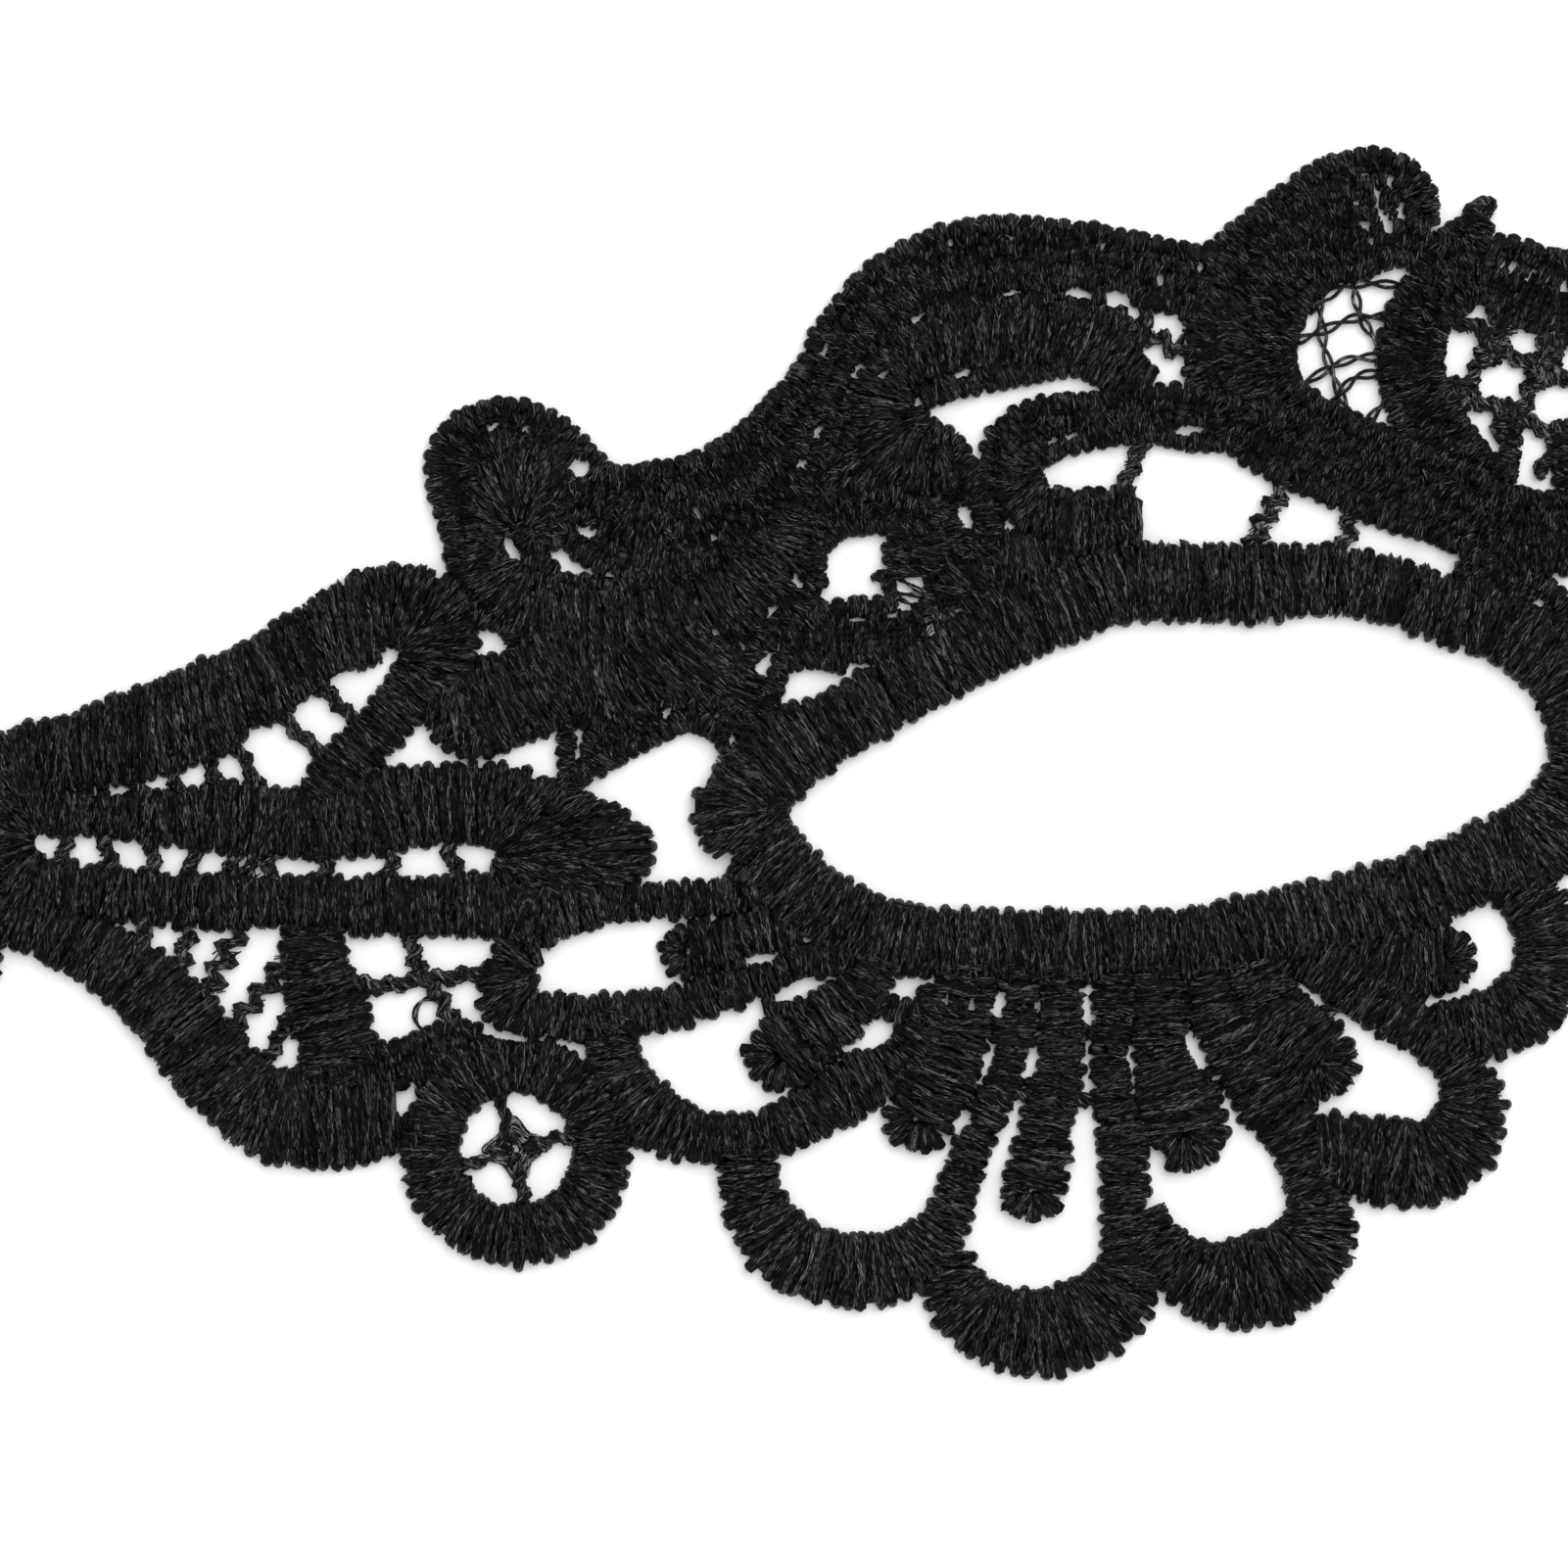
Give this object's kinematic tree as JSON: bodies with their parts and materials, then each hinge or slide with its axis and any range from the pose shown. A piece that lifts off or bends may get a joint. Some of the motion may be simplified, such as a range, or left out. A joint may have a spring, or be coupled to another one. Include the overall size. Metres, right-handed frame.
{
  "type": "lace eye mask",
  "caption": "Half-face mask of black guipure lace, laid flat, with wide almond eye openings, scalloped cheeks, a heart over the nose and a tie eyelet at each temple.",
  "frame": {"origin": "middle of the lace's bounding box, on the table it lies on", "axes": "+X to the temple at the right of a viewer above, +Y to the brow, +Z out of the face of the lace"},
  "size_m": [0.247, 0.0782, 0.0014],
  "materials": {
    "black_thread": "black rayon embroidery thread with a soft sheen along each strand"
  },
  "bodies": {
    "root": {"lace": "black_thread"}
  },
  "joints": []
}
